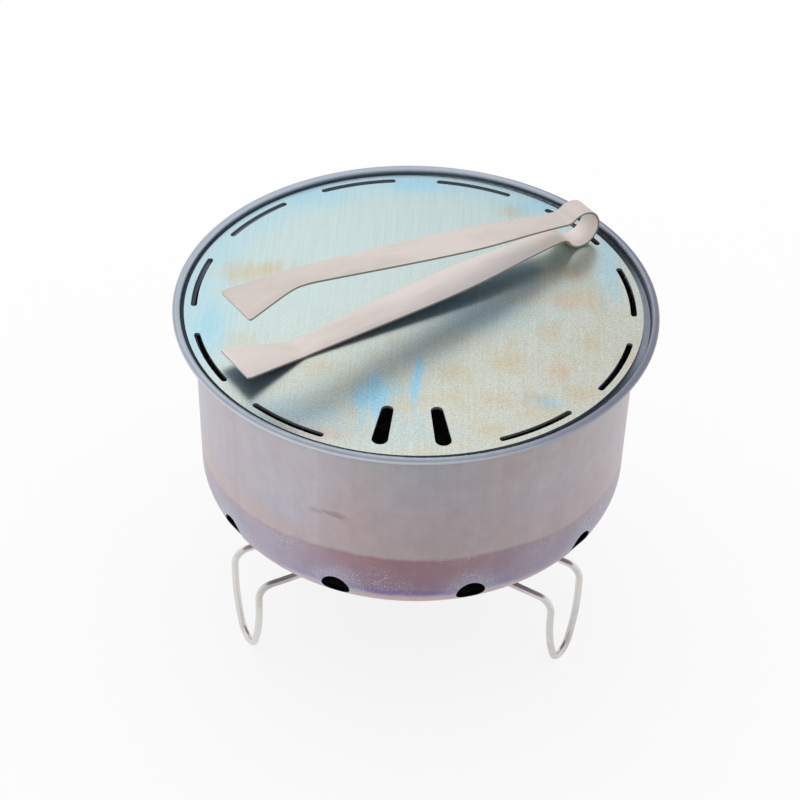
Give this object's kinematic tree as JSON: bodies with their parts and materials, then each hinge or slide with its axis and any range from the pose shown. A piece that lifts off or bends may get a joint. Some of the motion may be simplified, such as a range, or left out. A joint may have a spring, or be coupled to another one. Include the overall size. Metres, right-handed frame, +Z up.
{
  "type": "folding titanium wood stove",
  "caption": "Round bowl wood stove on folding wire legs, with vents, a lift-out slotted griddle plate, a fire grate and spring tongs lying on the plate.",
  "frame": {"origin": "on the ground under the bowl's axis, between the standing legs", "axes": "+Z up along the bowl's axis, front towards -Y where the plate has its two radial slots, +X to the viewer's right"},
  "size_m": [0.16, 0.16, 0.1565],
  "materials": {
    "bowl_titanium": "spun titanium, satin, heat tinted from blue-grey at the rim to violet at the foot",
    "griddle_titanium": "fine straight grain, pale blue-green heat tint with light brown stains",
    "grate_titanium": "perforated sheet, darkened by fire",
    "leg_wire": "bright drawn wire",
    "bracket_titanium": "folded sheet, slightly heat tinted",
    "tongs_titanium": "fine blasted strip, warm grey, bright edges"
  },
  "bodies": {
    "stove": {"stove_body": "bowl_titanium", "bracket_back": "bracket_titanium", "bracket_front_left": "bracket_titanium", "bracket_front_right": "bracket_titanium"},
    "griddle": {"griddle_plate": "griddle_titanium"},
    "grate": {"fire_grate": "grate_titanium"},
    "tongs": {"tongs_lower_arm": "tongs_titanium", "tongs_bow": "tongs_titanium"},
    "tongs_upper": {"tongs_upper_arm": "tongs_titanium"},
    "leg_back": {"leg_back": "leg_wire"},
    "leg_front_left": {"leg_front_left": "leg_wire"},
    "leg_front_right": {"leg_front_right": "leg_wire"}
  },
  "joints": [
    {"name": "grate_lift", "type": "slide", "parent": "stove", "child": "grate", "axis": [0, 0, 1], "range_m": [0, 0.14]},
    {"name": "griddle_lift", "type": "slide", "parent": "grate", "child": "griddle", "axis": [0, 0, 1], "range_m": [0, 0.1]},
    {"name": "tongs_lift", "type": "slide", "parent": "griddle", "child": "tongs", "axis": [0, 0, 1], "range_m": [0, 0.06]},
    {"name": "tongs_squeeze", "type": "hinge", "parent": "tongs", "child": "tongs_upper", "pos_m": [0.05769, 0.04496, 0.1337], "axis": [0.599, -0.8007, 0], "range_deg": [0, 8.6], "stiffness_Nm_per_rad": 2, "deforming": ["tongs_bow"]},
    {"name": "leg_back_fold", "type": "hinge", "parent": "stove", "child": "leg_back", "pos_m": [0, 0.043, 0.0339], "axis": [-1, 0, 0], "range_deg": [0, 120]},
    {"name": "leg_front_left_fold", "type": "hinge", "parent": "stove", "child": "leg_front_left", "pos_m": [-0.03724, -0.0215, 0.0339], "axis": [0.5, -0.866, 0], "range_deg": [0, 120]},
    {"name": "leg_front_right_fold", "type": "hinge", "parent": "stove", "child": "leg_front_right", "pos_m": [0.03724, -0.0215, 0.0339], "axis": [0.5, 0.866, 0], "range_deg": [0, 120]}
  ]
}
